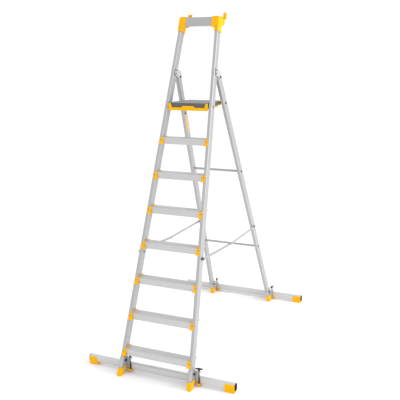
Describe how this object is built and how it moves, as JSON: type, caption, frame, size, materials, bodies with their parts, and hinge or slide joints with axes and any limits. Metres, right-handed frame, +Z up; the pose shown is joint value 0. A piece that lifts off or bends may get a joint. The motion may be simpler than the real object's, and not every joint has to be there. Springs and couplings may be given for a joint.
{
  "type": "platform step ladder",
  "caption": "Folding platform step ladder: ribbed treads, guard frame with tool tray, rear legs with locking stays, and sliding stabiliser beams front and rear.",
  "frame": {"origin": "on the floor, under the middle of the whole ladder's box", "axes": "+Z up, +X to the climber's right, +Y away from the climber, towards the rear legs"},
  "size_m": [1.11, 1.851, 2.448],
  "materials": {
    "leg_aluminium": "satin extruded, clear anodised",
    "tread_aluminium": "satin extruded with ribs",
    "beam_aluminium": "satin extruded, clear anodised",
    "tray_aluminium": "satin extruded",
    "clamp_aluminium": "satin formed plate",
    "deck_aluminium": "ribbed, grey textured coating",
    "hinge_steel": "satin zinc-plated",
    "stay_steel": "satin zinc-plated",
    "bolt_steel": "satin zinc-plated",
    "yellow_plastic": "fine moulded texture",
    "black_plastic": "fine moulded texture",
    "dark_plastic": "fine moulded texture",
    "label_film": "printed film, no text"
  },
  "bodies": {
    "front_frame": {"front_stile_right": "leg_aluminium", "front_stile_left": "leg_aluminium", "tread_1": "tread_aluminium", "step_brackets_1": "yellow_plastic", "tread_2": "tread_aluminium", "step_brackets_2": "yellow_plastic", "tread_3": "tread_aluminium", "step_brackets_3": "yellow_plastic", "tread_4": "tread_aluminium", "step_brackets_4": "yellow_plastic", "tread_5": "tread_aluminium", "step_brackets_5": "yellow_plastic", "tread_6": "tread_aluminium", "step_brackets_6": "yellow_plastic", "tread_7": "tread_aluminium", "step_brackets_7": "yellow_plastic", "front_frame_screws": "bolt_steel", "front_boot_right": "yellow_plastic", "front_boot_left": "yellow_plastic", "hand_frame_corner_right": "yellow_plastic", "hand_frame_corner_left": "yellow_plastic", "tool_tray": "tray_aluminium", "hinge_plates_right": "hinge_steel", "hinge_plates_left": "hinge_steel", "front_frame_bolts": "bolt_steel", "front_clamp_right": "clamp_aluminium", "front_clamp_left": "clamp_aluminium", "front_clamp_pads": "yellow_plastic"},
    "rear_frame": {"rear_leg_right": "leg_aluminium", "rear_leg_left": "leg_aluminium", "rear_brace_lower": "leg_aluminium", "rear_brace_upper": "leg_aluminium", "rear_boot_right": "yellow_plastic", "rear_boot_left": "yellow_plastic", "rear_frame_bolts": "bolt_steel", "rear_clamp_right": "clamp_aluminium", "rear_clamp_left": "clamp_aluminium", "rear_clamp_pads": "yellow_plastic", "leg_label": "label_film"},
    "platform": {"platform_deck": "deck_aluminium", "platform_frame": "dark_plastic", "platform_front_rail": "yellow_plastic", "platform_side_edging": "yellow_plastic", "platform_rear_corners": "yellow_plastic"},
    "front_stays": {"front_stay_right": "stay_steel", "front_stay_left": "stay_steel"},
    "rear_stays": {"rear_stay_right": "stay_steel", "rear_stay_left": "stay_steel"},
    "front_stabiliser": {"front_beam": "beam_aluminium", "front_beam_foot_right": "yellow_plastic", "front_beam_foot_left": "yellow_plastic", "front_beam_plugs": "black_plastic"},
    "rear_stabiliser": {"rear_beam": "beam_aluminium", "rear_beam_foot_right": "yellow_plastic", "rear_beam_foot_left": "yellow_plastic", "rear_beam_plugs": "black_plastic"},
    "front_knob_right": {"front_knob_right": "black_plastic"},
    "front_knob_left": {"front_knob_left": "black_plastic"},
    "rear_knob_right": {"rear_knob_right": "black_plastic"},
    "rear_knob_left": {"rear_knob_left": "black_plastic"}
  },
  "joints": [
    {"name": "fold", "type": "hinge", "parent": "front_frame", "child": "rear_frame", "pos_m": [0, -0.14255, 2.003], "axis": [-1, 0, 0], "range_deg": [0, 43]},
    {"name": "platform_lift", "type": "hinge", "parent": "front_frame", "child": "platform", "pos_m": [0, -0.28955, 1.805], "axis": [1, 0, 0], "range_deg": [0, 71]},
    {"name": "front_stay_swing", "type": "hinge", "parent": "front_frame", "child": "front_stays", "pos_m": [0, -0.62155, 0.815], "axis": [1, 0, 0], "range_deg": [0, 44]},
    {"name": "rear_stay_swing", "type": "hinge", "parent": "rear_frame", "child": "rear_stays", "pos_m": [0, 0.45745, 0.779], "axis": [-1, 0, 0], "range_deg": [0, 82]},
    {"name": "front_stabiliser_slide", "type": "slide", "parent": "front_frame", "child": "front_stabiliser", "axis": [1, 0, 0], "range_m": [-0.15, 0.15]},
    {"name": "rear_stabiliser_slide", "type": "slide", "parent": "rear_frame", "child": "rear_stabiliser", "axis": [1, 0, 0], "range_m": [-0.15, 0.15]},
    {"name": "front_knob_right_turn", "type": "hinge", "parent": "front_frame", "child": "front_knob_right", "pos_m": [0.30226, -0.83755, 0.1282], "axis": [0, 0, 1], "continuous": true},
    {"name": "front_knob_left_turn", "type": "hinge", "parent": "front_frame", "child": "front_knob_left", "pos_m": [-0.21626, -0.83755, 0.1282], "axis": [0, 0, 1], "continuous": true},
    {"name": "rear_knob_right_turn", "type": "hinge", "parent": "rear_frame", "child": "rear_knob_right", "pos_m": [0.27923, 0.89445, 0.111], "axis": [0, 0, 1], "continuous": true},
    {"name": "rear_knob_left_turn", "type": "hinge", "parent": "rear_frame", "child": "rear_knob_left", "pos_m": [-0.25922, 0.89445, 0.111], "axis": [0, 0, 1], "continuous": true}
  ],
  "couplings": [
    {"joint": "platform_lift", "follows": "fold", "ratio": 1.65},
    {"joint": "front_stay_swing", "follows": "fold", "ratio": 1.0186},
    {"joint": "rear_stay_swing", "follows": "fold", "ratio": 1.9047}
  ]
}
